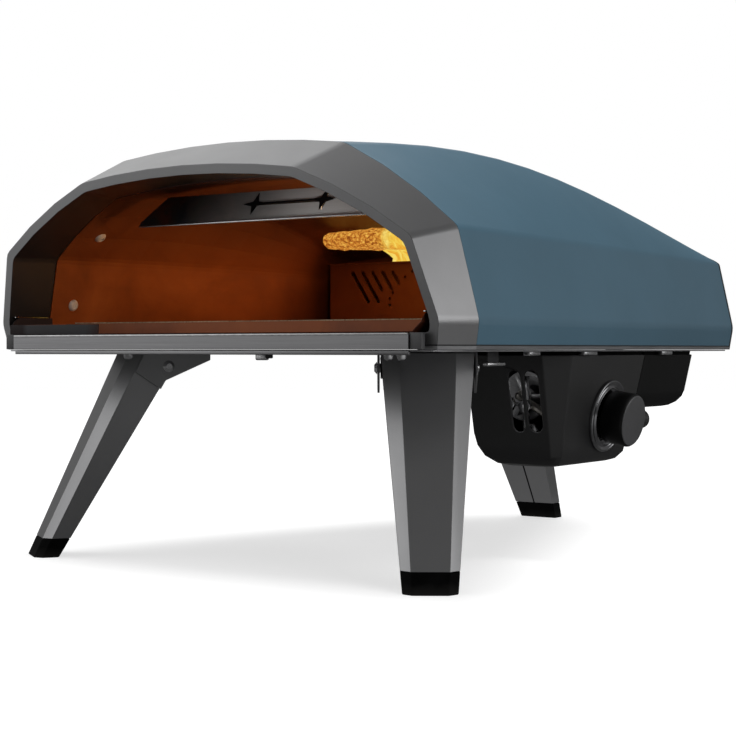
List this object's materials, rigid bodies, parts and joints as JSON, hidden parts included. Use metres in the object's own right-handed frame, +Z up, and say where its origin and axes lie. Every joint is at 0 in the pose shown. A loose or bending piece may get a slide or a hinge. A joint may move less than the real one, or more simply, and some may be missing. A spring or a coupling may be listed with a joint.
{
  "type": "portable pizza oven",
  "caption": "Portable gas pizza oven with a faceted insulated shell, open mouth, baking stone, rear burner, side gas control and folding legs.",
  "frame": {"origin": "on the surface that the feet stand on, under the middle of the oven's overall box", "axes": "+Z up, +Y from the open mouth towards the rear, +X towards the side that carries the gas control"},
  "size_m": [0.4892, 0.6342, 0.3737],
  "materials": {
    "slate_paint": "satin",
    "graphite_paint": "satin",
    "black_paint": "matte",
    "brushed_steel": "satin",
    "plain_steel": "satin",
    "heat_tinted_steel": "satin",
    "cordierite": "matte",
    "ceramic_fibre": "matte",
    "black_moulding": "satin",
    "gloss_black": "gloss",
    "foot_rubber": "matte",
    "brass": "satin",
    "bright_metal": "gloss"
  },
  "bodies": {
    "oven_body": {"outer_shell": "slate_paint", "front_visor": "graphite_paint", "front_sill": "brushed_steel", "mouth_threshold": "brushed_steel", "base_pan": "plain_steel", "rear_panel": "black_paint", "fibre_blanket": "ceramic_fibre", "rear_fibre_pad": "ceramic_fibre", "chamber_liner": "heat_tinted_steel", "baking_stone": "cordierite", "stone_rail_left": "plain_steel", "stone_rail_right": "plain_steel", "flame_deflector": "brushed_steel", "burner_tube": "plain_steel", "burner_guard": "heat_tinted_steel", "burner_riser": "plain_steel", "spark_electrode": "bright_metal", "flame_sensor": "bright_metal", "deflector_screw_1": "bright_metal", "deflector_screw_2": "bright_metal", "deflector_screw_3": "bright_metal", "control_housing": "black_moulding", "tail_box": "black_moulding", "gas_valve": "brass", "gas_injector": "brass", "supply_pipe": "brass", "gas_inlet": "black_moulding", "mixing_tube": "brushed_steel", "dial_bezel": "gloss_black", "front_left_leg_bracket": "graphite_paint", "front_left_pivot_pin": "bright_metal", "front_left_bracket_screw_1": "bright_metal", "front_left_bracket_screw_2": "bright_metal", "front_right_leg_bracket": "graphite_paint", "front_right_pivot_pin": "bright_metal", "front_right_bracket_screw_1": "bright_metal", "front_right_bracket_screw_2": "bright_metal", "rear_leg_bracket": "graphite_paint", "rear_pivot_pin": "bright_metal", "rear_bracket_screw_1": "bright_metal", "rear_bracket_screw_2": "bright_metal"},
    "front_left_support": {"front_left_leg": "graphite_paint", "front_left_foot": "foot_rubber"},
    "front_right_support": {"front_right_leg": "graphite_paint", "front_right_foot": "foot_rubber"},
    "rear_support": {"rear_leg": "graphite_paint", "rear_foot": "foot_rubber"},
    "valve_rotor": {"valve_plug": "brass"},
    "dial": {"dial_stem": "bright_metal", "dial_knob": "gloss_black", "dial_cap": "gloss_black"}
  },
  "joints": [
    {"name": "front_left_fold", "type": "hinge", "parent": "oven_body", "child": "front_left_support", "pos_m": [-0.15105, -0.17752, 0.1745], "axis": [0.829, -0.5592, 0], "range_deg": [0, 116]},
    {"name": "front_right_fold", "type": "hinge", "parent": "oven_body", "child": "front_right_support", "pos_m": [0.15105, -0.17752, 0.1745], "axis": [0.829, 0.5592, 0], "range_deg": [0, 116]},
    {"name": "rear_fold", "type": "hinge", "parent": "oven_body", "child": "rear_support", "pos_m": [0, 0.19711, 0.1745], "axis": [-1, 0, 0], "range_deg": [0, 100]},
    {"name": "dial_turn", "type": "hinge", "parent": "oven_body", "child": "valve_rotor", "pos_m": [0.20866, 0.04411, 0.1285], "axis": [0.9877, 0, -0.1564], "range_deg": [0, 210]},
    {"name": "dial_push", "type": "slide", "parent": "valve_rotor", "child": "dial", "axis": [-0.9877, 0, 0.1564], "range_m": [0, 0.0035], "stiffness_N_per_m": 1500, "springref_m": -0.002}
  ]
}
